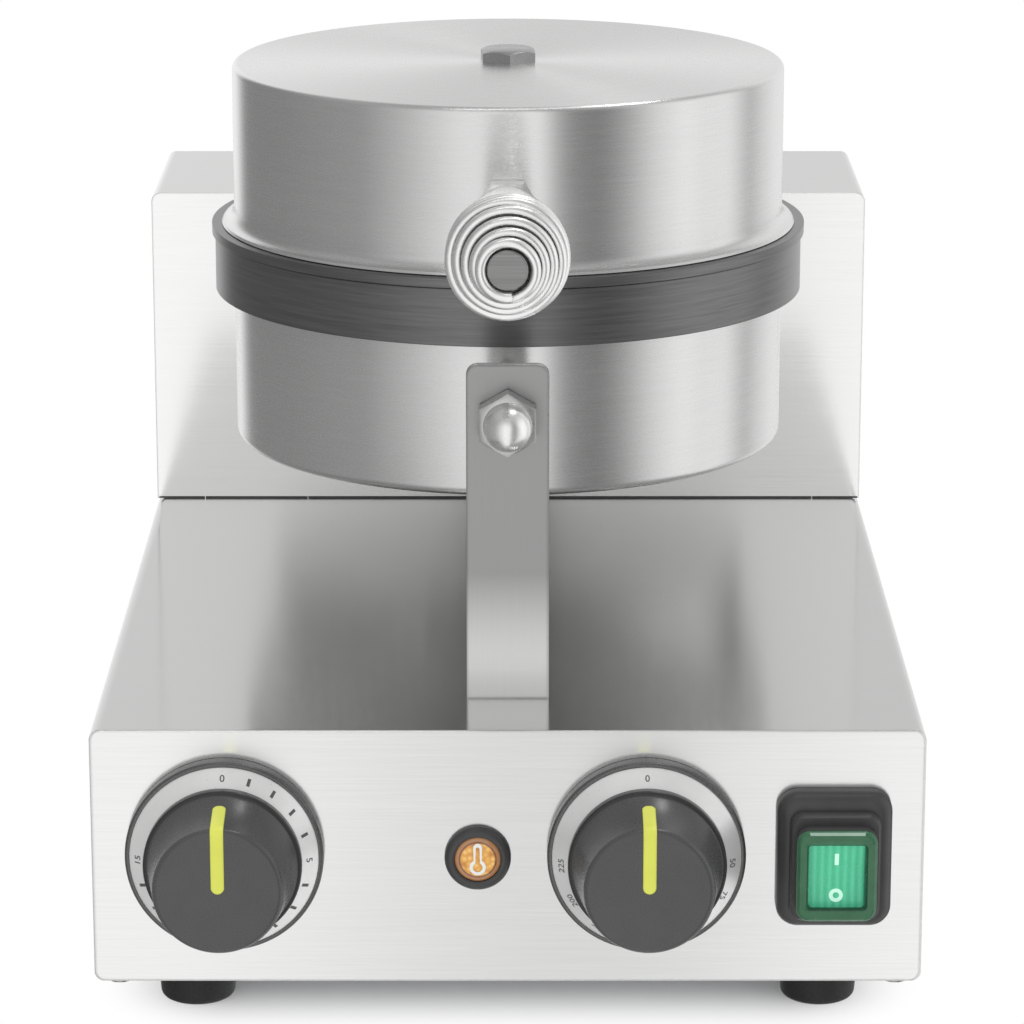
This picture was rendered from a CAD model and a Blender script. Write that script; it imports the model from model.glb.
import math

import bmesh
import bpy
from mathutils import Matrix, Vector


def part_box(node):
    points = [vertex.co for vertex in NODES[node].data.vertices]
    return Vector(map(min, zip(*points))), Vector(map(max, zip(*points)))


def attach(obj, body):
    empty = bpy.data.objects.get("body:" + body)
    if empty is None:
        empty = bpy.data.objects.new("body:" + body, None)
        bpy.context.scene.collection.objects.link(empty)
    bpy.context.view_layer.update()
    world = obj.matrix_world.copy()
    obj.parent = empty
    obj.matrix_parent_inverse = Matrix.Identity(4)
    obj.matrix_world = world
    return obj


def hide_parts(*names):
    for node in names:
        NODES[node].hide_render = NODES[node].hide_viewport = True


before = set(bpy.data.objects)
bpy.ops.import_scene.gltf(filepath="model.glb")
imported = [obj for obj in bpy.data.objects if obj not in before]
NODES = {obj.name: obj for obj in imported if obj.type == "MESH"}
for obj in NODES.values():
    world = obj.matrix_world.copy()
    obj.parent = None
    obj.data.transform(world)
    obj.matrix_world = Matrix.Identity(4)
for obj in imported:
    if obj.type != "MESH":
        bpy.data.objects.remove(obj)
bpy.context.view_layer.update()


# Sizes of the part in millimetres, as in its source
MM = 0.001
MID_Z = 54.75
CONTROL_Z = 56.25
PANEL_Y = -168.0
DECK_Z = 94.5
LOWER_Z, BAND_Z, UPPER_Z, LID_Z = 145.5, 195.0, 216.4, 268.4
DRUM_R, SHELL_T = 89.5, 1.0
POST_Y, POST_Z = -136.5, 182.0
HANDLE_Z, TIP_Y = 237.6, -185.0
TOWER_Y = 100.5
TIMER_X, THERMO_X, LAMP_X, SWITCH_X = -84.9, 41.6, -8.99, 97.8
TURN = 270.0
HEX_AF, NUT_H, THREAD_R, NUT_BORE_R = 17, 8, 4.9, 4.95


# ---------------------------------------------------------------- material tools

def material(name):
    m = bpy.data.materials.new(name)
    m.use_nodes = True
    nt = m.node_tree
    return m, nt, nt.nodes["Principled BSDF"]


def add(nt, kind, **props):
    n = nt.nodes.new(kind)
    for k, v in props.items():
        setattr(n, k, v)
    return n


def calc(nt, operation, a, b=None):
    """Math on a socket and, if given, a second socket or a number."""
    n = add(nt, "ShaderNodeMath", operation=operation)
    nt.links.new(a, n.inputs[0])
    if isinstance(b, float):
        n.inputs[1].default_value = b
    elif b is not None:
        nt.links.new(b, n.inputs[1])
    return n.outputs[0]


def vector(nt, operation, a, b=(0, 0, 0)):
    """Vector math on a socket and a fixed vector."""
    n = add(nt, "ShaderNodeVectorMath", operation=operation)
    nt.links.new(a, n.inputs[0])
    n.inputs[1].default_value = b
    return n.outputs["Value" if operation == "LENGTH" else "Vector"]


def parts(nt, vec):
    """The X, Y and Z of a vector."""
    sep = add(nt, "ShaderNodeSeparateXYZ")
    nt.links.new(vec, sep.inputs[0])
    return sep.outputs


def joined(nt, **ways):
    out = add(nt, "ShaderNodeCombineXYZ")
    for way, value in ways.items():
        nt.links.new(value, out.inputs[way])
    return out.outputs[0]


def coordinates(nt):
    """Object coordinates in metres."""
    return add(nt, "ShaderNodeTexCoord").outputs["Object"]


def mapped(nt, vec, setting, value):
    mp = add(nt, "ShaderNodeMapping")
    mp.inputs[setting].default_value = value
    nt.links.new(vec, mp.inputs["Vector"])
    return mp.outputs["Vector"]


def place(nt, *scale):
    """Object coordinates times one scale, or one for each axis."""
    return mapped(nt, coordinates(nt), "Scale", scale if len(scale) == 3 else scale * 3)


def noise(nt, vec, detail=3.0):
    n = add(nt, "ShaderNodeTexNoise")
    n.inputs["Scale"].default_value = 1.0
    n.inputs["Detail"].default_value = detail
    n.inputs["Roughness"].default_value = 0.6
    nt.links.new(vec, n.inputs["Vector"])
    return n.outputs["Fac"]


def remap(nt, val, lo, hi, a=0.3, b=0.7):
    """lo to hi as the value runs from a to b. A noise runs from about 0.3 to 0.7."""
    r = add(nt, "ShaderNodeMapRange")
    for name, v in (("From Min", a), ("From Max", b), ("To Min", lo), ("To Max", hi)):
        r.inputs[name].default_value = v
    nt.links.new(val, r.inputs["Value"])
    return r.outputs["Result"]


def ramp(nt, val, stops):
    r = add(nt, "ShaderNodeValToRGB")
    e = r.color_ramp.elements
    while len(e) < len(stops):
        e.new(0.5)
    for i, (p, c) in enumerate(stops):
        e[i].position = p
        e[i].color = (*c, 1)
    nt.links.new(val, r.inputs["Fac"])
    return r.outputs["Color"]


def mix(nt, fac, a, b):
    """Colour from a to b, each a colour or a socket."""
    m = add(nt, "ShaderNodeMix", data_type="RGBA")
    nt.links.new(fac, m.inputs["Factor"])
    for sock, v in ((m.inputs[6], a), (m.inputs[7], b)):
        if isinstance(v, tuple):
            sock.default_value = (*v, 1)
        else:
            nt.links.new(v, sock)
    return m.outputs[2]


def mix_shader(nt, fac, a, b):
    m = add(nt, "ShaderNodeMixShader")
    for i, out in enumerate((fac, a, b)):
        nt.links.new(out, m.inputs[i])
    return m.outputs[0]


def tinted(nt, fac, tone, contrast):
    """The tone, darker or lighter by the contrast as the factor runs from 0 to 1."""
    lo, hi = (tuple(min(1.0, c * (1 + k * contrast)) for c in tone) for k in (-1, 1))
    return mix(nt, fac, lo, hi)


def lit(nt, p, colour, strength):
    """Colour of a piece with a lamp behind it."""
    nt.links.new(colour, p.inputs["Base Color"])
    nt.links.new(colour, p.inputs["Emission Color"])
    p.inputs["Emission Strength"].default_value = strength


def bump(nt, height, strength, dist, normal=None):
    b = add(nt, "ShaderNodeBump")
    b.inputs["Strength"].default_value = strength
    b.inputs["Distance"].default_value = dist
    nt.links.new(height, b.inputs["Height"])
    if normal is not None:
        nt.links.new(normal, b.inputs["Normal"])
    return b.outputs["Normal"]


def edge_round(nt, radius):
    """Normal that rounds off the edges, or none for a radius of zero."""
    if not radius:
        return None
    b = add(nt, "ShaderNodeBevel", samples=4)
    b.inputs["Radius"].default_value = radius
    return b.outputs["Normal"]


def around_z(nt):
    """Coordinates for grooves that run round the Z axis: radius, height and a slow angle."""
    x, y, z = parts(nt, coordinates(nt))
    radius = vector(nt, "LENGTH", joined(nt, X=x, Y=y))
    slow = calc(nt, "MULTIPLY", calc(nt, "ARCTAN2", y, x), 0.02)
    return joined(nt, X=radius, Y=z, Z=slow)


def normal_part(nt, way):
    """Part of the surface normal along the axis way."""
    g = add(nt, "ShaderNodeNewGeometry")
    return parts(nt, g.outputs["Normal"])[way.upper()]


def stretched(nt, way, wide, long):
    """Coordinates drawn out along the axis way, and on the faces across it along another axis."""
    both = []
    for axis in (way, {"x": "y", "y": "z", "z": "y"}[way]):
        scale = [wide] * 3
        scale["xyz".index(axis)] = long
        both.append(place(nt, *scale))
    across = remap(nt, calc(nt, "ABSOLUTE", normal_part(nt, way)), 0.0, 1.0, 0.70, 0.80)
    return mix(nt, across, *both)


def brushed(name, base, rough, way, edge=0.0, grain=1.0, aniso=0.5, contrast=0.08, top=None, metallic=1.0, fade=None):
    """Brushed steel. way is x, y, z for straight grooves along that axis, or round for grooves round Z.
    top is the tone of the faces that look up, which get wiped and worn the most.
    fade is (z, z, tone): between these heights the tone goes over into the given one."""
    m, nt, p = material(name)
    groove, fine_share = 2600 * grain, 0.72
    if way == "round":
        fine = noise(nt, mapped(nt, around_z(nt), "Scale", (groove, groove, 420 * grain)))
        broad = noise(nt, mapped(nt, around_z(nt), "Scale", (420, 420, 90)))
    else:
        fine = noise(nt, stretched(nt, way, groove, 28 * grain))
        broad = noise(nt, stretched(nt, way, 160.0, 5.0))
    marks = calc(nt, "ADD", remap(nt, fine, 0.0, fine_share), remap(nt, broad, 0.0, 1 - fine_share))
    colour = tinted(nt, marks, base, contrast)
    if fade is not None:
        z0, z1, tone = fade
        part = remap(nt, parts(nt, coordinates(nt))["Z"], 0.0, 1.0, z0, z1)
        colour = mix(nt, part, colour, tinted(nt, marks, tone, contrast))
    if top is not None:
        part = remap(nt, normal_part(nt, "z"), 0.0, 1.0, 0.5, 0.95)
        colour = mix(nt, part, colour, tinted(nt, marks, top, contrast))
    nt.links.new(colour, p.inputs["Base Color"])
    nt.links.new(remap(nt, marks, rough * 0.92, rough * 1.10, 0.0, 1.0), p.inputs["Roughness"])
    nt.links.new(bump(nt, fine, 0.10, 0.00003, edge_round(nt, edge)), p.inputs["Normal"])
    p.inputs["Metallic"].default_value = metallic
    p.inputs["Anisotropic"].default_value = aniso
    if way == "round":
        t = add(nt, "ShaderNodeTangent", direction_type="RADIAL", axis="Z")
        nt.links.new(t.outputs[0], p.inputs["Tangent"])
        p.inputs["Anisotropic Rotation"].default_value = 0.25
    else:
        # the axis leans a little, so that it is square to no face and the tangent never vanishes
        g = add(nt, "ShaderNodeNewGeometry")
        axis = {"x": (1, 0.02, 0), "y": (0, 1, 0.02), "z": (0, 0.02, 1)}[way]
        nt.links.new(vector(nt, "CROSS_PRODUCT", g.outputs["Normal"], axis), p.inputs["Tangent"])
    return m


def plain_metal(name, base, rough, grain, edge=0.0, contrast=0.1, metallic=1.0, dent=0.2):
    """Metal without a direction: slow stains and a fine grain."""
    m, nt, p = material(name)
    fine = noise(nt, place(nt, grain), 5.0)
    slow = remap(nt, noise(nt, place(nt, 60.0)), 0.0, 1.0)
    nt.links.new(tinted(nt, slow, base, contrast), p.inputs["Base Color"])
    nt.links.new(remap(nt, fine, rough * 0.8, rough * 1.25), p.inputs["Roughness"])
    nt.links.new(bump(nt, fine, dent, 0.00004, edge_round(nt, edge)), p.inputs["Normal"])
    p.inputs["Metallic"].default_value = metallic
    return m


def plastic(name, base, rough, grain, dent=0.25, contrast=0.12):
    """Plastic, rubber or wool: slow changes of tone and a fine grain."""
    m, nt, p = material(name)
    fine = noise(nt, place(nt, grain))
    slow = remap(nt, noise(nt, place(nt, 90.0), 4.0), 0.0, 1.0)
    nt.links.new(tinted(nt, slow, base, contrast), p.inputs["Base Color"])
    nt.links.new(remap(nt, fine, rough * 0.85, rough * 1.15), p.inputs["Roughness"])
    nt.links.new(bump(nt, fine, dent, 0.00005), p.inputs["Normal"])
    return m


def amber():
    """Moulded amber lens: pebbled and golden, with a dark ring and a brown rim. The rings' radii are in metres."""
    m, nt, p = material("lens_amber")
    v = add(nt, "ShaderNodeTexVoronoi")
    v.inputs["Scale"].default_value = 1.0
    nt.links.new(place(nt, 620.0), v.inputs["Vector"])
    pebble = v.outputs["Distance"]
    gold = ramp(nt, pebble, [(0.0, (0.86, 0.60, 0.24)), (0.35, (0.78, 0.40, 0.055)), (0.9, (0.50, 0.18, 0.015))])
    centred = mapped(nt, coordinates(nt), "Location", (-LAMP_X * MM, 0, -MID_Z * MM))
    far = vector(nt, "LENGTH", vector(nt, "MULTIPLY", centred, (1, 0, 1)))
    rings = mix(nt, remap(nt, far, 0.0, 1.0, 0.0055, 0.0059), (0.16, 0.045, 0.018), (0.40, 0.19, 0.075))
    lit(nt, p, mix(nt, remap(nt, far, 0.0, 1.0, 0.0050, 0.0054), gold, rings), 0.12)
    nt.links.new(remap(nt, pebble, 0.12, 0.3, 0.0, 1.0), p.inputs["Roughness"])
    nt.links.new(bump(nt, pebble, 0.5, 0.0003), p.inputs["Normal"])
    p.inputs["Coat Weight"].default_value = 1.0
    p.inputs["Coat Roughness"].default_value = 0.05
    return m


def rocker_green():
    """Lit green plastic with upright ribs."""
    m, nt, p = material("rocker_green")
    w = add(nt, "ShaderNodeTexWave", wave_type="BANDS", bands_direction="X")
    w.inputs["Scale"].default_value = 1.0
    nt.links.new(place(nt, 136.0, 1.0, 1.0), w.inputs["Vector"])
    ribs = w.outputs["Fac"]
    fine = noise(nt, place(nt, 500.0))
    c = mix(nt, remap(nt, ribs, 0.0, 1.0, 0.0, 1.0), (0.045, 0.43, 0.225), (0.085, 0.55, 0.32))
    lit(nt, p, mix(nt, remap(nt, fine, 0.0, 0.2), c, (0.03, 0.38, 0.19)), 0.28)
    nt.links.new(remap(nt, fine, 0.2, 0.32), p.inputs["Roughness"])
    nt.links.new(bump(nt, ribs, 0.4, 0.0003), p.inputs["Normal"])
    return m


def sign_pale():
    """Moulded ON and OFF signs of a lit rocker."""
    m, nt, p = material("sign_pale")
    fine = noise(nt, place(nt, 700.0))
    lit(nt, p, mix(nt, remap(nt, fine, 0.0, 1.0), (0.50, 0.82, 0.66), (0.58, 0.88, 0.73)), 0.45)
    nt.links.new(remap(nt, fine, 0.3, 0.4), p.inputs["Roughness"])
    return m


def soft_cap(name, lo, hi, alpha, rough):
    """Clear green soft plastic."""
    m, nt, p = material(name)
    slow = noise(nt, place(nt, 160.0))
    nt.links.new(mix(nt, remap(nt, slow, 0.0, 1.0), lo, hi), p.inputs["Base Color"])
    nt.links.new(remap(nt, slow, rough * 0.8, rough * 1.25), p.inputs["Roughness"])
    nt.links.new(bump(nt, slow, 0.1, 0.0002), p.inputs["Normal"])
    p.inputs["Alpha"].default_value = alpha
    return m


# ---------------------------------------------------------------- materials

M = {}
M["panel"] = brushed("steel_brushed_x", (0.85, 0.85, 0.845), 0.16, "x", edge=0.0016, aniso=0.85, contrast=0.03,
                     top=(0.57, 0.57, 0.567))
M["tower"] = brushed("steel_brushed_tower", (0.92, 0.92, 0.915), 0.14, "x", edge=0.0009, aniso=0.4, contrast=0.025,
                     top=(0.63, 0.63, 0.627))
M["drum"] = brushed("steel_brushed_round", (0.72, 0.72, 0.717), 0.27, "round", aniso=0.8, contrast=0.04)
M["post"] = brushed("steel_brushed_z", (0.88, 0.88, 0.875), 0.38, "z", edge=0.0014, aniso=0.3, contrast=0.03,
                    top=(0.97, 0.97, 0.965), fade=(0.104, 0.134, (0.37, 0.37, 0.368)))
M["inner"] = plain_metal("plated_sheet", (0.50, 0.51, 0.52), 0.38, 500.0, edge=0.0004)
M["bar"] = brushed("steel_bar", (0.50, 0.50, 0.497), 0.33, "x", edge=0.0006, aniso=0.3)
M["bolt"] = plain_metal("bolt_steel", (0.40, 0.40, 0.40), 0.30, 700.0, contrast=0.12)
M["bright"] = plain_metal("bright_nickel", (0.92, 0.92, 0.915), 0.30, 500.0, contrast=0.03, dent=0.04)
M["nut"] = plain_metal("nut_nickel", (0.56, 0.56, 0.556), 0.30, 500.0, contrast=0.03, dent=0.04)
M["rod"] = brushed("rod_brushed", (0.27, 0.27, 0.268), 0.34, "x", edge=0.0003, grain=0.5, aniso=0.5, contrast=0.25)
# dark coated casting with a metal sheen
M["iron"] = brushed("cast_coating", (0.185, 0.185, 0.187), 0.35, "round", edge=0.0006, grain=0.5, aniso=0.55,
                    contrast=0.20, metallic=0.97)
M["heater"] = plain_metal("heater_tube", (0.16, 0.155, 0.15), 0.45, 600.0, contrast=0.25)
M["wool"] = plastic("mineral_wool", (0.70, 0.67, 0.56), 0.95, 500.0, dent=0.9, contrast=0.2)
M["bronze"] = plain_metal("bearing_bronze", (0.62, 0.43, 0.20), 0.35, 800.0)
M["rubber"] = plastic("foot_rubber", (0.010, 0.010, 0.0105), 0.62, 1200.0, dent=0.4)
M["black"] = plastic("black_plastic", (0.044, 0.044, 0.045), 0.38, 1400.0, dent=0.2)
M["bezel"] = plain_metal("bezel_satin", (0.13, 0.13, 0.13), 0.28, 1400.0, dent=0.1, contrast=0.06, metallic=0.7)
M["knob"] = plastic("knob_plastic", (0.066, 0.066, 0.067), 0.27, 2200.0, dent=0.12, contrast=0.06)
M["flange"] = plastic("knob_flange", (0.022, 0.022, 0.023), 0.30, 2200.0, dent=0.1, contrast=0.06)
M["scale"] = plain_metal("scale_silver", (0.84, 0.84, 0.835), 0.34, 900.0, contrast=0.03, dent=0.06, metallic=0.5)
M["lime"] = plastic("pointer_lime", (0.70, 0.735, 0.105), 0.32, 1200.0, dent=0.1, contrast=0.04)
M["white"] = plastic("control_white", (0.74, 0.72, 0.66), 0.5, 900.0)
M["seam"] = plastic("seam_grey", (0.085, 0.085, 0.086), 0.6, 900.0, dent=0.3)
M["ink"] = plastic("scale_ink", (0.085, 0.085, 0.086), 0.5, 2500.0, dent=0.1)
M["mark"] = plastic("mark_white", (0.86, 0.87, 0.84), 0.35, 1500.0, dent=0.1, contrast=0.04)
M["amber"], M["rocker"], M["sign"] = amber(), rocker_green(), sign_pale()
M["cap"] = soft_cap("cap_green", (0.034, 0.130, 0.062), (0.044, 0.160, 0.078), 0.88, 0.22)
M["cap_deep"] = soft_cap("cap_green_deep", (0.012, 0.062, 0.032), (0.018, 0.078, 0.042), 0.96, 0.25)
M["cap_edge"] = soft_cap("cap_green_edge", (0.30, 0.44, 0.35), (0.36, 0.50, 0.41), 0.95, 0.15)
M["pane"] = soft_cap("cap_green_pane", (0.20, 0.62, 0.42), (0.26, 0.70, 0.50), 0.10, 0.08)


# ---------------------------------------------------------------- mesh tools

class Shape:
    """Collects loops of points in millimetres into one mesh."""

    def __init__(self):
        self.v, self.f, self.m = [], [], []

    def points(self, pts):
        at = len(self.v)
        self.v.extend(tuple(p) for p in pts)
        return list(range(at, at + len(pts)))

    def face(self, ids, mat=0):
        self.f.append(tuple(ids))
        self.m.append(mat)

    def loft(self, loops, closed=True, cap0=False, cap1=False, mat=0):
        rows = [self.points(lp) for lp in loops]
        n = len(rows[0])
        for a, b in zip(rows, rows[1:]):
            for i in range(n if closed else n - 1):
                j = (i + 1) % n
                self.face((a[i], a[j], b[j], b[i]), mat)
        if cap0:
            self.face(rows[0][::-1], mat)
        if cap1:
            self.face(rows[-1], mat)

    def build(self, name, mats, body, replaces=(), angle=35.0):
        me = bpy.data.meshes.new(name)
        me.from_pydata([Vector(p) * MM for p in self.v], [], self.f)
        me.validate()
        for m in mats if isinstance(mats, list) else [mats]:
            me.materials.append(m)
        for poly, k in zip(me.polygons, self.m):
            poly.material_index = k
        bm = bmesh.new()
        bm.from_mesh(me)
        bmesh.ops.remove_doubles(bm, verts=bm.verts, dist=1e-7)
        bmesh.ops.recalc_face_normals(bm, faces=bm.faces)
        bm.to_mesh(me)
        bm.free()
        me.polygons.foreach_set("use_smooth", [True] * len(me.polygons))
        me.set_sharp_from_angle(angle=math.radians(angle))
        o = bpy.data.objects.new(name, me)
        bpy.context.scene.collection.objects.link(o)
        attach(o, body)
        if replaces:
            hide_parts(*replaces)


def turn(axis, c, r, t, a):
    """Point at radius r and angle a round an axis through c, t along it."""
    x, y, z = c
    if axis == "z":
        return (x + r * math.cos(a), y + r * math.sin(a), z + t)
    if axis == "y":
        return (x + r * math.cos(a), y + t, z + r * math.sin(a))
    return (x + t, y + r * math.cos(a), z + r * math.sin(a))


def lathe(s, profile, axis, c, n, closed=False, mat=0):
    """Turns a profile of (radius, along) pairs. A radius of zero closes the form on its axis."""
    loops = [[turn(axis, c, r, t, 2 * math.pi * i / n) for i in range(n)] for r, t in profile]
    if closed:
        loops.append(loops[0])
    s.loft(loops, mat=mat)


def arc(cx, cy, r, a0, a1, n=8):
    return [(cx + r * math.cos(math.radians(a0 + (a1 - a0) * i / n)),
             cy + r * math.sin(math.radians(a0 + (a1 - a0) * i / n))) for i in range(n + 1)]


def bend(r, t, e, angles, deep=None):
    """Rounded edge of a profile that grows toward the viewer: radius e about (r, t), at angles in degrees.
    deep is the radius along the axis, where it isn't e."""
    return [(r + e * math.cos(math.radians(a)), t - (deep or e) * math.sin(math.radians(a))) for a in angles]


def rrect(w, h, r):
    """Outline of a rectangle with round corners about the origin."""
    out = []
    for cx, cy, a in ((1, 1, 0), (-1, 1, 90), (-1, -1, 180), (1, -1, 270)):
        out += arc(cx * (w / 2 - r), cy * (h / 2 - r), r, a, a + 90)
    return out


def hex_radius(a, af, turned):
    """Distance from the middle of a hexagon to its side at angle a."""
    s = math.radians(60)
    k = (a - math.radians(turned)) % s
    return af / 2 / math.cos(k - s / 2)


def hex_head(s, h, axis, c, sign, turned, both=False, hole=0.0, top=0.93):
    """Hexagon head or nut with its corners turned off in a cone, on its outer end or on both.
    turned is a corner's angle and top the cone's least radius as a share of the hexagon's."""
    n, lead = 72, 0.5
    rc = HEX_AF / 2 * top
    angles = [math.radians(turned) + 2 * math.pi * i / n for i in range(n)]
    reach = [hex_radius(a, HEX_AF, turned) for a in angles]
    drop = [(r - rc) * math.tan(math.radians(30)) for r in reach]

    def loop(rs, ts):
        return [turn(axis, c, r, sign * t, a) for r, t, a in zip(rs, ts, angles)]

    loops = []
    if hole:
        loops.append(loop([hole] * n, [0] * n))
    if both:
        loops += [loop([rc] * n, [0] * n), loop(reach, drop)]
    else:
        loops.append(loop(reach, [0] * n))
    loops += [loop(reach, [h - d for d in drop]), loop([rc] * n, [h] * n)]
    if hole:
        loops += [loop([hole + lead] * n, [h] * n), loop([hole] * n, [h - lead] * n), loop([hole] * n, [0] * n)]
        s.loft(loops)
    else:
        s.loft(loops, cap0=True, cap1=True)


def tube(s, path, r, sides):
    """Round wire along a path of points, with frames carried along it."""
    pts = [Vector(p) for p in path]
    ways = []
    for i in range(len(pts)):
        a, b = pts[max(i - 1, 0)], pts[min(i + 1, len(pts) - 1)]
        ways.append((b - a).normalized())
    up = ways[0].orthogonal().normalized()
    loops = []
    for p, w in zip(pts, ways):
        up = (up - w * up.dot(w)).normalized()
        side = w.cross(up)
        loops.append([tuple(p + r * (math.cos(2 * math.pi * k / sides) * up + math.sin(2 * math.pi * k / sides) * side))
                      for k in range(sides)])
    s.loft(loops, cap0=True, cap1=True)


# ---------------------------------------------------------------- drums

def casing(lower):
    """Drum of thin sheet, open to its plate. The upper one ends in a flared foot."""
    s = Shape()
    inside = DRUM_R - SHELL_T
    if lower:
        e, z0, z1 = 3.0, LOWER_Z, BAND_Z + 4
        prof = [(0, z0)] + arc(DRUM_R - e, z0 + e, e, -90, 0)
        prof += [(DRUM_R, z1), (inside, z1), (inside, z0 + e), (DRUM_R - e, z0 + SHELL_T), (0, z0 + SHELL_T)]
    else:
        e, flare, z1 = 2.0, 4.0, LID_Z
        foot, neck = UPPER_Z + 0.05, UPPER_Z + 5.0
        prof = [(0, z1)] + arc(DRUM_R - e, z1 - e, e, 90, 0) + [(DRUM_R, neck)]
        prof += arc(DRUM_R + flare, neck, flare, 180, 262)
        prof += [(DRUM_R + flare, foot + 0.25), (DRUM_R + 3.6, foot), (inside, foot)]
        prof += [(inside, z1 - e), (DRUM_R - e, z1 - SHELL_T), (0, z1 - SHELL_T)]
    lathe(s, prof, "z", (0, 0, 0), 256)
    name = "lower" if lower else "upper"
    s.build(name + "_drum_casing", M["drum"], "base" if lower else "lid", [name + "_casing"])


casing(True)
casing(False)


# ---------------------------------------------------------------- handle

def coil():
    """Wound wire handle: its first turn lies close round the rod, the next ones widen, and the rest draw in again."""
    wire, pitch, turns = 3.2, 3.7, 22
    tip, fore, flat = 0.65, 3.55, 2.0
    end_r, max_r = 7.85, 36.7 / 2 - wire / 2
    wide = tip + fore

    def radius(t):
        if t < tip:
            return end_r
        if t < wide:
            return end_r + (max_r - end_r) * (t - tip) / fore
        if t < wide + flat:
            return max_r
        return max_r - (max_r - end_r) * (t - wide - flat) / (turns - wide - flat)

    path = []
    steps, start = 48, -80
    for i in range(turns * steps + 1):
        t = i / steps
        a = math.radians(start - 360 * t)
        path.append((radius(t) * math.cos(a), TIP_Y + wire / 2 + t * pitch, HANDLE_Z + radius(t) * math.sin(a)))
    s = Shape()
    tube(s, path, wire / 2, 14)
    s.build("handle_wire", M["bright"], "lid", ["handle_coil"])


coil()


def rod_and_nuts():
    s = Shape()
    rod_r, tip, root, end = 6.0, TIP_Y + 2.0, -DRUM_R - 8.0, -71.5
    rod_lead, thread_lead = 0.3, 0.7
    lathe(s, [(0, tip), (rod_r - rod_lead, tip), (rod_r, tip + rod_lead), (rod_r, root), (THREAD_R, root),
              (THREAD_R, end - thread_lead), (THREAD_R - thread_lead, end), (0, end)], "y", (0, 0, HANDLE_Z), 48)
    s.build("handle_core", M["rod"], "lid", ["handle_rod"])
    s = Shape()
    inner = -math.sqrt((DRUM_R - SHELL_T) ** 2 - (HEX_AF / math.cos(math.radians(30)) / 2) ** 2)
    for y, sign in ((-DRUM_R, -1), (inner, 1)):
        hex_head(s, NUT_H, "y", (0, y, HANDLE_Z), sign, 0.0, both=True, hole=NUT_BORE_R)
    s.build("handle_hex_nuts", M["bright"], "lid", ["handle_nuts"])


rod_and_nuts()


def drum_bolt(node, body, z, head, sign, turned, end):
    """Hexagon bolt in the middle of a drum's disc at z, with its shank's end at the given height."""
    s = Shape()
    hex_head(s, head, "z", (0, 0, z), sign, turned)
    lathe(s, [(0, z), (THREAD_R, z), (THREAD_R, end), (0, end)], "z", (0, 0, 0), 32)
    s.build(node.replace("_", "_hex_"), M["bolt"], body, [node])


drum_bolt("top_bolt", "lid", LID_Z, 4.0, 1, 34.0, 233.4)
drum_bolt("lower_bolt", "base", LOWER_Z, 6.4, -1, 30.0, 195.0)


def dome_nut():
    s = Shape()
    at = (0, POST_Y, POST_Z)
    hex_head(s, NUT_H, "y", at, -1, 90.0, both=True, hole=NUT_BORE_R, top=0.9)
    r = 7.0
    prof = [(7.5, -7.6), (7.2, -8.4), (r, -9.2)] + bend(0, -10.8, r, range(0, 90, 9), r * 1.02) + [(0, -18.0)]
    lathe(s, prof, "y", at, 64, mat=1)
    s.build("dome_hex_nut", [M["nut"], M["bright"]], "base", ["post_dome_nut"])


dome_nut()


# ---------------------------------------------------------------- knobs, scales and pointers

BEZEL_T, SCALE_RISE, BEZEL_R, SEAT_R, HUB_R = 5.2, 4.6, 29.8, 28.4, 22.8
SCALE_T, FIGURE_LIFT = 0.8, 0.03
# The pointers' fronts stand FRONT_D before the panel, and PROUD before the knobs' faces
FRONT_D, KNOB_GAP, PROUD = 36.0, 0.4, 0.4
KNOB_BACK = PANEL_Y - BEZEL_T - SCALE_RISE - KNOB_GAP
KNOB_L = FRONT_D - BEZEL_T - SCALE_RISE - KNOB_GAP - PROUD
FLANGE_R, FLANGE_T, BODY_R, FACE_R = 23.7, 4.0, 22.1, 19.3
EDGE_R = 1.9
EDGE_AT = FACE_R + 0.12 - EDGE_R
CONTROL_HOLE_R = 7.3
ROUND = 160


def knob(x, name, node):
    s = Shape()
    at, e = (x, KNOB_BACK, CONTROL_Z), 0.9
    flange = [(0, 0.0), (FLANGE_R - 0.5, 0.0), (FLANGE_R, -0.5), (FLANGE_R, -FLANGE_T + e)]
    flange += bend(FLANGE_R - e, -FLANGE_T + e, e, (20, 40, 60, 80))
    prof = [(BODY_R + 0.45, -FLANGE_T - 0.02), (BODY_R + 0.05, -FLANGE_T - 0.4)]
    lathe(s, flange + prof[:1], "y", at, ROUND, mat=1)
    lean = math.degrees(math.atan2(BODY_R - FACE_R, KNOB_L - FLANGE_T))
    prof += bend(EDGE_AT, -KNOB_L + EDGE_R, EDGE_R, [lean + (90 - lean) * i / 10 for i in range(11)])
    prof += [(FACE_R - 2.8, -KNOB_L), (0, -KNOB_L)]
    lathe(s, prof, "y", at, ROUND)
    spindle_r, spindle_l = 3, 25.0
    lathe(s, [(spindle_r, 0.0), (spindle_r, spindle_l), (2.5, spindle_l + 0.1), (0, spindle_l + 0.1)], "y", at, 24)
    s.build(name, [M["knob"], M["flange"]], node + "_dial", [node + "_knob"], angle=50)


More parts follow.
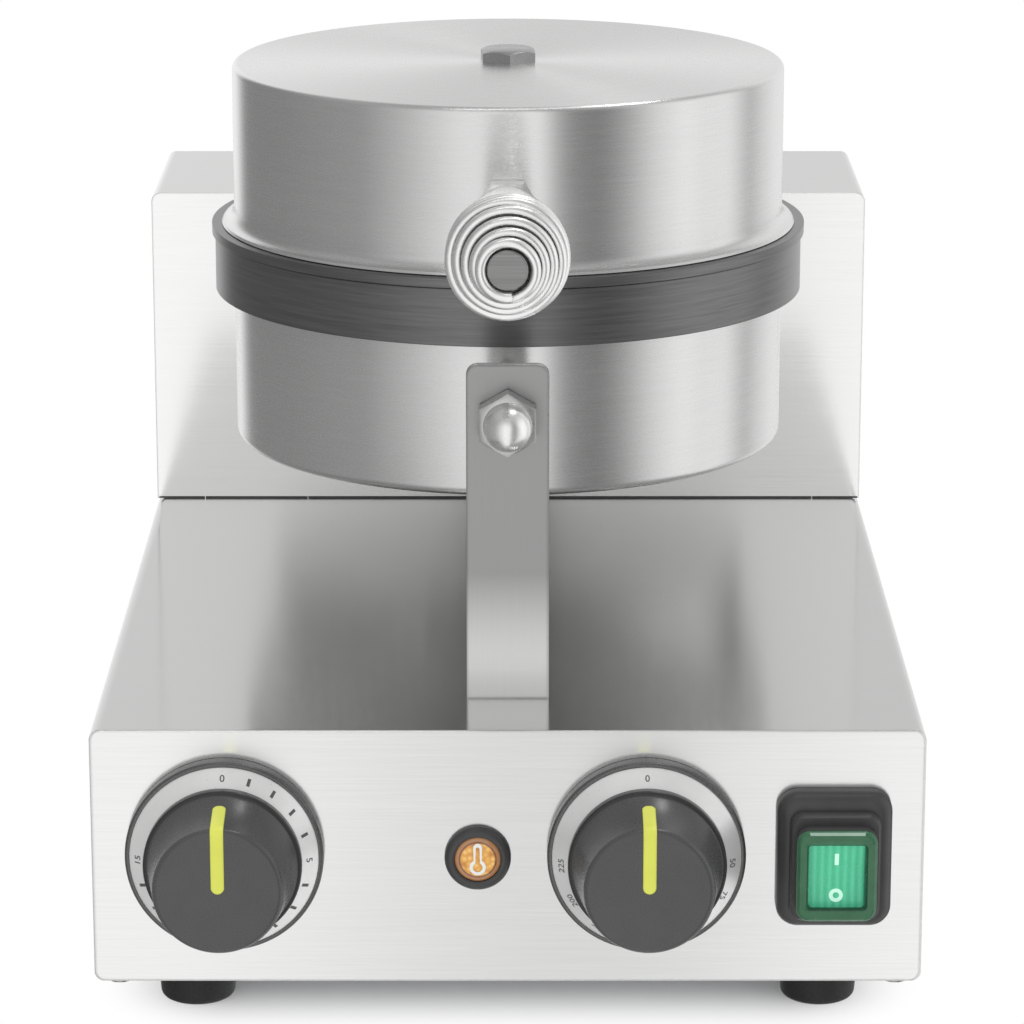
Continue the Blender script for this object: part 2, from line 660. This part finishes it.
def pointer(x, name, node):
    """Inlaid strip that runs from the flange up the side, over the edge and across the face."""
    slope = (BODY_R - FACE_R) / (KNOB_L - FLANGE_T)
    start, end_z, half = 10.0, -0.5, 1.95
    path = []
    for i in range(9):
        d = start + (KNOB_L - EDGE_R - start) * i / 8
        path.append((BODY_R - (d - FLANGE_T) * slope, d))
    for i in range(1, 8):
        a = math.radians(90 * i / 8)
        path.append((EDGE_AT + EDGE_R * math.cos(a), KNOB_L - EDGE_R + EDGE_R * math.sin(a)))
    for i in range(12):
        path.append((EDGE_AT + (end_z - EDGE_AT) * i / 11, KNOB_L))
    pts = [Vector((0, -d, z)) for z, d in path]
    run = [0.0]
    for a, b in zip(pts, pts[1:]):
        run.append(run[-1] + (b - a).length)
    total = run[-1]
    # more stations where the ends are round
    ends = [half * (1 - math.cos(math.radians(a))) for a in range(0, 91, 15)]
    stations = sorted(set(run + ends + [total - t for t in ends]))
    # outline across the strip: shares of its half width and of its height over the knob
    across = ((-1, -0.6), (-1, 0.3), (-0.86, 0.8), (-0.5, 1), (0, 1.06), (0.5, 1), (0.86, 0.8), (1, 0.3), (1, -0.6))
    s = Shape()
    loops = []
    for t in stations:
        k = min(max(i for i in range(len(run)) if run[i] <= t + 1e-9), len(pts) - 2)
        p = pts[k].lerp(pts[k + 1], (t - run[k]) / (run[k + 1] - run[k]))
        way = (pts[k + 1] - pts[k]).normalized()
        out = Vector((1, 0, 0)).cross(way)
        if out.y > 0 or (abs(out.y) < 0.3 and out.z < 0):
            out = -out
        edge = min(t, total - t)
        w = half if edge >= half else math.sqrt(max(half * half - (half - edge) ** 2, 0.0009))
        lift = PROUD * min(1.0, 0.35 + w / half)
        at = Vector((x, KNOB_BACK, CONTROL_Z)) + p
        loops.append([tuple(at + Vector((u * w, 0, 0)) + out * (h * lift)) for u, h in across])
    s.loft(loops, cap0=True, cap1=True)
    s.build(name, M["lime"], node + "_dial", [node + "_pointer"], angle=60)


def seat(r):
    """Height of the sloping scale's seat in front of the panel at radius r."""
    return BEZEL_T - 1.0 + SCALE_RISE * (SEAT_R - r) / (SEAT_R - HUB_R)


def on_scale(x, deg, u, v):
    """Point just over the sloping scale: u to the right of a figure at that angle and v up it."""
    lean = math.atan2(SCALE_RISE, SEAT_R - HUB_R)
    r = (SEAT_R + HUB_R) / 2 + v * math.cos(lean)
    a = math.radians(deg) + u / r
    return (x + r * math.sin(a), PANEL_Y - seat(r) - SCALE_T - FIGURE_LIFT, CONTROL_Z + r * math.cos(a))


def word(s, text, x, deg, size):
    """Figures laid on the scale at that angle."""
    cu = bpy.data.curves.new("figures", "FONT")
    cu.body = text
    cu.size = size
    cu.align_x, cu.align_y = "CENTER", "CENTER"
    cu.resolution_u = 3
    cu.offset = size * 0.012
    ob = bpy.data.objects.new("figures", cu)
    bpy.context.scene.collection.objects.link(ob)
    dg = bpy.context.evaluated_depsgraph_get()
    me = bpy.data.meshes.new_from_object(ob.evaluated_get(dg))
    bpy.data.objects.remove(ob)
    ids = s.points([on_scale(x, deg, v.co.x, v.co.y) for v in me.vertices])
    for p in me.polygons:
        s.face([ids[i] for i in p.vertices], 1)
    bpy.data.meshes.remove(me)


def dial(x, node):
    """Bezel and sloping scale ring with its figures. The timer has a mark for each minute."""
    s = Shape()
    at, e = (x, PANEL_Y, CONTROL_Z), 1.0
    prof = [(CONTROL_HOLE_R, 0), (BEZEL_R - 0.4, 0), (BEZEL_R, -0.4), (BEZEL_R, -BEZEL_T + e)]
    prof += bend(BEZEL_R - e, -BEZEL_T + e, e, (15, 30, 45, 60, 75, 90))
    prof += [(SEAT_R + 0.1, -BEZEL_T), (SEAT_R, -BEZEL_T + 0.15), (SEAT_R, -seat(SEAT_R)), (HUB_R, -seat(HUB_R)),
             (HUB_R, -BEZEL_T - SCALE_RISE), (CONTROL_HOLE_R, -BEZEL_T - SCALE_RISE)]
    lathe(s, prof, "y", at, ROUND, closed=True)
    s.build(node + "_bezel_ring", M["bezel"], "base", [node + "_bezel"], angle=40)
    s = Shape()
    r0, r1 = HUB_R + 0.15, SEAT_R - 0.05
    prof = [(r0, -seat(r0)), (r1, -seat(r1)), (r1, -seat(r1) - SCALE_T), (r0, -seat(r0) - SCALE_T)]
    lathe(s, prof, "y", at, ROUND, closed=True)
    if node == "timer":
        minutes, mark_w, mark_h = 15, 0.5, 1.25
        for i in range(minutes + 1):
            deg = i * TURN / minutes
            if i % 5 == 0:
                word(s, str(i), x, deg, 3.2)
            else:
                s.face(s.points([on_scale(x, deg, u * mark_w, v * mark_h)
                                 for u, v in ((-1, -1), (1, -1), (1, 1), (-1, 1))]), 1)
    else:
        for deg, text in ((0, "0"), (92, "50"), (116, "75"), (140, "100"), (165, "125"), (190, "150"),
                          (214, "175"), (240, "200"), (266, "225")):
            word(s, text, x, deg, 3.0)
    s.build(node + "_scale_ring", [M["scale"], M["ink"]], "base", [node + "_scale"])


for node, x in (("timer", TIMER_X), ("thermostat", THERMO_X)):
    dial(x, node)
    knob(x, node + "_grip", node)
    pointer(x, node + "_pointer_strip", node)


# ---------------------------------------------------------------- indicator

def indicator():
    at = (LAMP_X, PANEL_Y, MID_Z)
    ring_r, neck_r, bore_r, edge, back, floor = 10.0, 7.0, 6.0, 2.2, 24, -0.6
    s = Shape()
    prof = [(bore_r, back), (neck_r, back), (neck_r, 0), (ring_r - 0.3, 0), (ring_r, -0.3), (ring_r, -1.0)]
    prof += bend(ring_r - edge, -1.0, edge, (20, 40, 60, 80, 90))
    prof += [(7.5, -3.15), (7.1, -2.9), (neck_r, -2.6), (neck_r, floor), (bore_r, floor)]
    lathe(s, prof, "y", at, 96, closed=True)
    s.build("indicator_ring", M["black"], "base", ["indicator_bezel"])
    s = Shape()
    lens_r, lens_y, crown = 6.9, -2.3, 0.9
    prof = [(0, floor), (lens_r, floor), (lens_r, lens_y)] + bend(0, lens_y, lens_r, (15, 30, 50, 70, 90), crown)
    lathe(s, prof, "y", at, 64)
    # thermometer sign: the outline of a round bulb under a straight tube
    outer, inner = [], []
    for i in range(25):
        a = math.radians(-240 + 300 * i / 24)
        for side, r in ((outer, 2.45), (inner, 1.45)):
            side.append((r * math.cos(a), -2.6 + r * math.sin(a)))
    for i in range(13):
        a = math.radians(180 * i / 12)
        outer.append((1.35 * math.cos(a), 3.6 + 1.35 * math.sin(a)))
        inner.append((0.55 * math.cos(a), 3.3 + 0.45 * math.sin(a)))
    s.loft([[(LAMP_X + u, PANEL_Y - 3.3, MID_Z + 0.3 + v) for u, v in side] for side in (outer, inner)], mat=1)
    s.build("indicator_window", [M["amber"], M["mark"]], "base", ["indicator_lens"])


indicator()


# ---------------------------------------------------------------- switch

def on_switch(w, h, r, d, dz=0.0):
    """Rounded outline about the switch's middle, d in front of the panel and dz up."""
    return [(SWITCH_X + a, PANEL_Y - d, MID_Z + dz + b) for a, b in rrect(w, h, r)]


def switch_frame():
    s = Shape()
    w, h, taller = 34.5, 41.0, 1.3
    loops = [on_switch(w - 2 * i, h + taller - 2 * i, 6.2 - i * 0.6, d, taller / 2)
             for i, d in ((0.4, 0), (0, 0.4), (0, 3.2), (0.35, 4.6), (1.1, 5.8), (2.2, 6.6), (3.4, 7.0))]
    loops += [on_switch(w - 2 * i, h - 2 * i, 4.0 - (i - 3.6) * 0.5, d)
              for i, d in ((3.6, 7.0), (3.75, 7.6), (3.75, 8.9), (3.95, 9.2), (3.95, 10.3), (4.5, 11.0))]
    loops += [on_switch(18.8, 24.4, 1.2, 11.0), on_switch(18.4, 24.0, 1.0, 10.6), on_switch(18.4, 24.0, 1.0, -3.0)]
    s.loft(loops, cap1=True)
    s.loft([on_switch(27, 34, 1.0, 0), on_switch(27, 34, 1.0, -23.5), on_switch(26, 33, 1.0, -24)], cap1=True)
    s.build("switch_body_frame", M["black"], "base", ["switch_frame"], angle=40)


switch_frame()


def switch_cap():
    """Soft cap: side, rounded edge and sunk frame, then the clear pane over the rocker."""
    w, h, dz = 24, 28.3, -0.5
    s = Shape()
    rows = [on_switch(w - 2 * i, h - 2 * j, max(4 - i * 0.9, 0.6), d, dz)
            for i, j, d in ((0, 0, 11.05), (0, 0, 13.2), (0.35, 0.35, 13.5), (0.35, 0.35, 15.4), (0, 0, 15.5),
                            (0, 0, 16.1), (0.15, 0.15, 16.6), (1.0, 1.0, 17.45), (1.6, 1.6, 17.5),
                            (2.9, 3.7, 17.5), (3.25, 4.1, 17.2), (3.5, 4.45, 16.2))]
    s.loft(rows[:5], mat=3)
    s.loft(rows[4:10])
    s.loft(rows[9:], mat=4)
    s.loft([rows[-1], on_switch(17.0, 19.4, 0.6, 16.15, dz)], cap1=True, mat=1)
    # the pale top edge, where the light comes through the thickness
    s.face(s.points([(SWITCH_X + u, PANEL_Y - d, MID_Z + dz + v) for u, v, d in
                     ((-8.3, 13.95, 16.78), (8.3, 13.95, 16.78), (8.1, 13.2, 17.5), (-8.1, 13.2, 17.5))]), 2)
    s.loft([on_switch(w - 2 * i, h - 2 * i, 2.4, d, dz) for i, d in ((1.2, 11.05), (1.2, 15.2), (3.6, 15.3))])
    s.build("switch_clear_cap", [M["cap"], M["pane"], M["cap_edge"], M["black"], M["cap_deep"]], "base",
            ["switch_cap"], angle=40)


switch_cap()


def rocker():
    """Rocker with a dished front, ribs in its colour, and its two signs. It rests off: tipped about its pin."""
    s = Shape()
    half_w, flat_w, half_h, deep, dish, edge = 8.5, 8.2, 10.5, 14.6, 1.0, 0.35
    pin_y, pin_r, pin_half = PANEL_Y - 4.0, 1.5, 11.5
    tip = math.radians(6)

    def tilt(u, y, v):
        """Point u to the right of the switch's middle and v up from it, tipped about the pin."""
        dy = y - pin_y
        return (SWITCH_X + u, pin_y + dy * math.cos(tip) - v * math.sin(tip),
                MID_Z + dy * math.sin(tip) + v * math.cos(tip))

    def face_y(v):
        return PANEL_Y - deep + dish * (1 - (abs(v) / half_h) ** 2)

    n = 16
    heights = [-half_h + 2 * half_h * i / n for i in range(n + 1)]
    s.loft([[tilt(u, face_y(v) + (edge if abs(u) == half_w else 0), v) for u in (-half_w, -flat_w, flat_w, half_w)]
            for v in heights], closed=False)
    heel = [(half_h, pin_y), (half_h / 2, PANEL_Y), (-half_h / 2, PANEL_Y), (-half_h, pin_y)]
    for u in (-half_w, half_w):
        s.face(s.points([tilt(u, face_y(v) + edge, v) for v in heights] + [tilt(u, y, v) for v, y in heel]))
    ring = [(half_h, face_y(half_h) + edge)] + heel + [(-half_h, face_y(half_h) + edge)]
    s.loft([[tilt(u, y, v) for v, y in ring] for u in (-half_w, half_w)], closed=False)
    lathe(s, [(0, -pin_half), (pin_r, -pin_half), (pin_r, pin_half), (0, pin_half)], "x", (SWITCH_X, pin_y, MID_Z), 20)
    # ON bar and OFF ring
    s.loft([[tilt(u, face_y(v) - 0.07, v) for u in (-0.6, 0.6)] for v in (3.4 + 3.9 * i / 8 for i in range(9))],
           closed=False, mat=1)
    n, off = 28, -6.4
    rings = []
    for r in (2.1, 0.95):
        spots = [(r * math.cos(2 * math.pi * i / n), off + r * math.sin(2 * math.pi * i / n)) for i in range(n)]
        rings.append([tilt(u, face_y(v) - 0.06, v) for u, v in spots])
    s.loft(rings, mat=1)
    s.build("switch_rocker_body", [M["rocker"], M["sign"]], "rocker", ["switch_rocker"], angle=30)


rocker()


# ---------------------------------------------------------------- feet and seam

def foot(end):
    """Rubber foot, turned: recess for its screw, rounded sole, side and seat."""
    node = "foot_" + end
    lo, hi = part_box(node)
    x, y = (lo.x + hi.x) / 2 / MM, (lo.y + hi.y) / 2 / MM
    sole, edge, recess, bore = 9.0, 2.5, 6, 2.7
    s = Shape()
    prof = [(recess, 7), (recess, 0.6), (recess + 0.6, 0), (sole, 0)]
    prof += [(sole + edge * math.sin(math.radians(a)), edge - edge * math.cos(math.radians(a)))
             for a in (20, 40, 60, 80)]
    prof += [(11.9, 8), (12.15, 13.2), (12.25, 13.9), (12.25, 16.2), (bore, 16.2), (bore, 7)]
    lathe(s, prof, "z", (x, y, 0), 72, closed=True)
    s.build("rubber_" + end, M["rubber"], "base", [node])


for end in ("front_left", "front_right", "rear_left", "rear_right"):
    foot(end)


def tower_seam():
    """Dark sealing strip in the joint between the tower's front and the deck, in four lengths."""
    s = Shape()
    y0, y1, z0, top = TOWER_Y - 0.12, TOWER_Y + 0.5, DECK_Z + 0.02, DECK_Z + 0.85
    for ends in ((-124.4, -108.2), (-107.9, -71.6), (-71.3, 108.0), (108.3, 124.4)):
        s.loft([[(x, y0, z0), (x, y0, top - 0.3), (x, y0 + 0.25, top), (x, y1, top), (x, y1, z0)] for x in ends],
               cap0=True, cap1=True)
    s.build("tower_seam", M["seam"], "base")


tower_seam()


# ---------------------------------------------------------------- carried-over nodes

KEEP = {
    "panel": "base_housing",
    "tower": "tower_housing tower_cover",
    "post": "front_post",
    "inner": "bottom_plate hinge_frame lower_clamp_plate upper_clamp_plate",
    "bar": "spacer_tube drum_block lid_bracket stop_bar hinge_shaft",
    "bolt": "bottom_screws foot_screws cover_screws deck_bolts support_stud stud_nut drum_block_bolts shaft_clips "
            "lid_bracket_bolts",
    "iron": "lower_plate upper_plate",
    "heater": "lower_heater upper_heater",
    "wool": "lower_insulation upper_insulation",
    "bronze": "hinge_bushes",
    "black": "cable_gland gland_locknut",
    "white": "terminal_block timer_body thermostat_body",
}
for key, names in KEEP.items():
    for n in names.split():
        NODES[n].data.materials.clear()
        NODES[n].data.materials.append(M[key])


# ---------------------------------------------------------------- stage, light and camera

def stage():
    half = 4.0
    me = bpy.data.meshes.new("floor")
    me.from_pydata([(-half, -half, 0), (half, -half, 0), (half, half, 0), (-half, half, 0)], [], [(0, 1, 2, 3)])
    o = bpy.data.objects.new("floor", me)
    bpy.context.scene.collection.objects.link(o)
    m, nt, p = material("floor_white")
    p.inputs["Base Color"].default_value = (0.90, 0.90, 0.90, 1)
    p.inputs["Roughness"].default_value = 0.95
    p.inputs["Specular IOR Level"].default_value = 0.0
    # away from the object, where no shadow falls, the floor runs out into the white of the backdrop
    near, run_out = (0.083, 0.128, 0), 0.048
    past = vector(nt, "SUBTRACT", vector(nt, "ABSOLUTE", coordinates(nt)), near)
    fade = add(nt, "ShaderNodeMapRange", interpolation_type="SMOOTHSTEP")
    fade.inputs["From Min"].default_value, fade.inputs["From Max"].default_value = 0.0, run_out
    nt.links.new(vector(nt, "LENGTH", vector(nt, "MAXIMUM", past)), fade.inputs["Value"])
    glow = add(nt, "ShaderNodeEmission")
    glow.inputs["Strength"].default_value = 1.0
    white = mix_shader(nt, fade.outputs["Result"], p.outputs[0], glow.outputs[0])
    # metal looks through the floor at the studio round the object
    lp = add(nt, "ShaderNodeLightPath")
    clear = add(nt, "ShaderNodeBsdfTransparent")
    seen = mix_shader(nt, lp.outputs["Is Glossy Ray"], white, clear.outputs[0])
    nt.links.new(seen, nt.nodes["Material Output"].inputs["Surface"])
    me.materials.append(m)


stage()

# Studio round the object: light seen in the metal by direction round Z, front at zero, right positive
STUDIO = [(-180, 0.84), (-168, 1.02), (-154, 1.02), (-141, 0.26), (-104, 0.28), (-62, 0.36), (-43, 0.60), (-20, 0.98),
          (-4, 1.04), (-0.8, 0.80), (2.5, 0.72), (3.5, 1.02), (5.6, 1.01), (9, 1.14), (13, 1.14), (20, 0.50),
          (26, 0.30), (38, 0.22), (48, 0.40), (63, 0.85), (78, 1.10), (90, 0.98), (104, 1.05), (119, 0.55),
          (130, 0.80), (145, 0.95), (180, 0.84)]
STUDIO_FULL = 1.3
STUDIO_ROOF = (0.34, 0.34, 0.34)


def studio():
    """World: the studio's bands for metal, and plain white for the camera and for soft light."""
    world = bpy.data.worlds.new("studio")
    bpy.context.scene.world = world
    world.use_nodes = True
    nt = world.node_tree
    x, y, z = parts(nt, add(nt, "ShaderNodeTexCoord").outputs["Generated"])
    angle = calc(nt, "ARCTAN2", x, calc(nt, "MULTIPLY", y, -1.0))
    share = remap(nt, angle, 0.0, 1.0, -math.pi, math.pi)
    bands = ramp(nt, share, [((a + 180) / 360, (v / STUDIO_FULL,) * 3) for a, v in STUDIO])
    high = remap(nt, z, 0.0, 1.0, 0.45, 0.85)
    around = add(nt, "ShaderNodeBackground")
    around.inputs["Strength"].default_value = STUDIO_FULL
    nt.links.new(mix(nt, high, bands, STUDIO_ROOF), around.inputs["Color"])
    white = add(nt, "ShaderNodeBackground")
    white.inputs["Color"].default_value = (1, 1, 1, 1)
    white.inputs["Strength"].default_value = 1.0
    lp = add(nt, "ShaderNodeLightPath")
    light = mix_shader(nt, lp.outputs["Is Glossy Ray"], white.outputs[0], around.outputs[0])
    seen = mix_shader(nt, lp.outputs["Is Camera Ray"], light, white.outputs[0])
    nt.links.new(seen, nt.nodes["World Output"].inputs["Surface"])


studio()


def lamp(name, pos, aim, wide, deep, power):
    d = bpy.data.lights.new(name, "AREA")
    d.shape = "RECTANGLE"
    d.size, d.size_y = wide, deep
    d.energy = power
    o = bpy.data.objects.new(name, d)
    bpy.context.scene.collection.objects.link(o)
    o.location = pos
    o.rotation_mode = "QUATERNION"
    o.rotation_quaternion = (Vector(aim) - Vector(pos)).to_track_quat("-Z", "Y")


lamp("lamp_top", (0.1, -0.1, 1.9), (0, 0, 0.1), 1.7, 0.25, 2.6)
lamp("lamp_behind", (0.6, 0.7, 2.0), (0, -0.1, 0.1), 0.35, 0.35, 3.5)

# Camera fitted to the edges of the base, tower, drums, post and knobs in the photograph
LENS, LOOK_DOWN = 155.79, 15.16
cam_data = bpy.data.cameras.new("camera")
cam_data.sensor_width = 36.0
cam_data.lens = LENS
cam_data.clip_start, cam_data.clip_end = 0.05, 30
cam = bpy.data.objects.new("camera", cam_data)
bpy.context.scene.collection.objects.link(cam)
cam.location = (0.0013, -1.42608, 0.50291)
cam.rotation_euler = (math.radians(90 - LOOK_DOWN), 0, 0)
bpy.context.scene.camera = cam
bpy.context.scene.view_settings.view_transform = "Standard"
